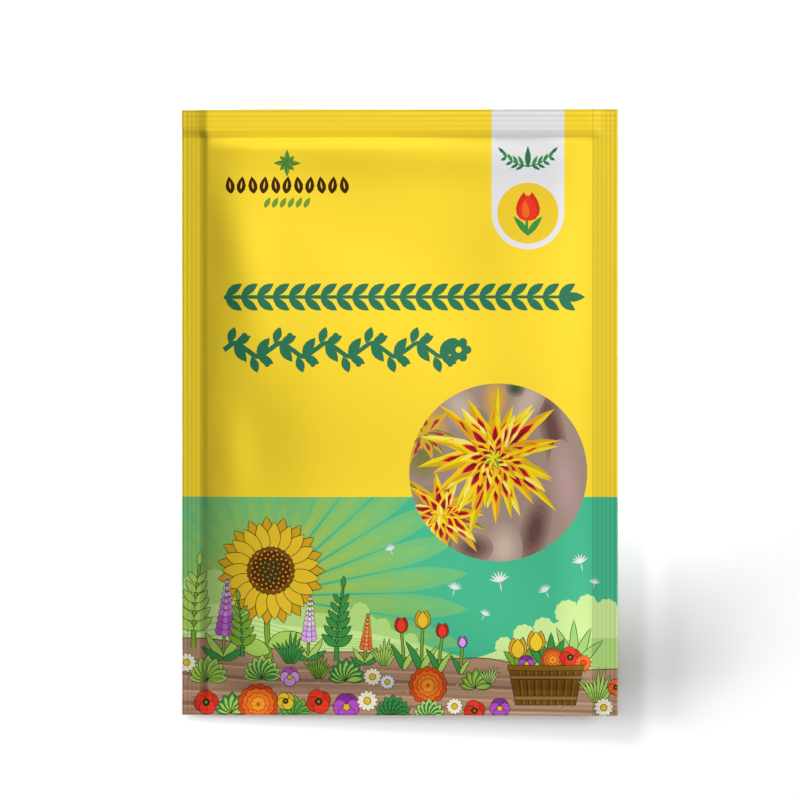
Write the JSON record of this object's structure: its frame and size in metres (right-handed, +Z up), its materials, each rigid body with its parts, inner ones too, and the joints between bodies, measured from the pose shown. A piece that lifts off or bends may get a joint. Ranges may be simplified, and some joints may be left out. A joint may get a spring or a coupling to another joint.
{
  "type": "seed packet",
  "caption": "Seed packet lying on its back: a flat, air-puffed sachet of printed film with ribbed heat seals round every edge and loose seeds inside.",
  "frame": {"origin": "on the surface that the packet lies on, under the middle of its rectangle", "axes": "+X across the packet to the right as its front is seen, +Y along it towards its top edge, +Z up out of its printed front"},
  "size_m": [0.1, 0.139, 0.012],
  "materials": {
    "front_print": "satin-gloss printed laminate film, yellow over teal, with a printed flower meadow, round picture, white tab and leaf borders",
    "back_print": "satin-gloss printed laminate film, yellow over teal, with a plain pale panel",
    "seed_coat": "smooth glossy dark brown seed coat"
  },
  "bodies": {
    "root": {"front_film": "front_print", "back_film": "back_print", "seeds": "seed_coat"}
  },
  "joints": []
}
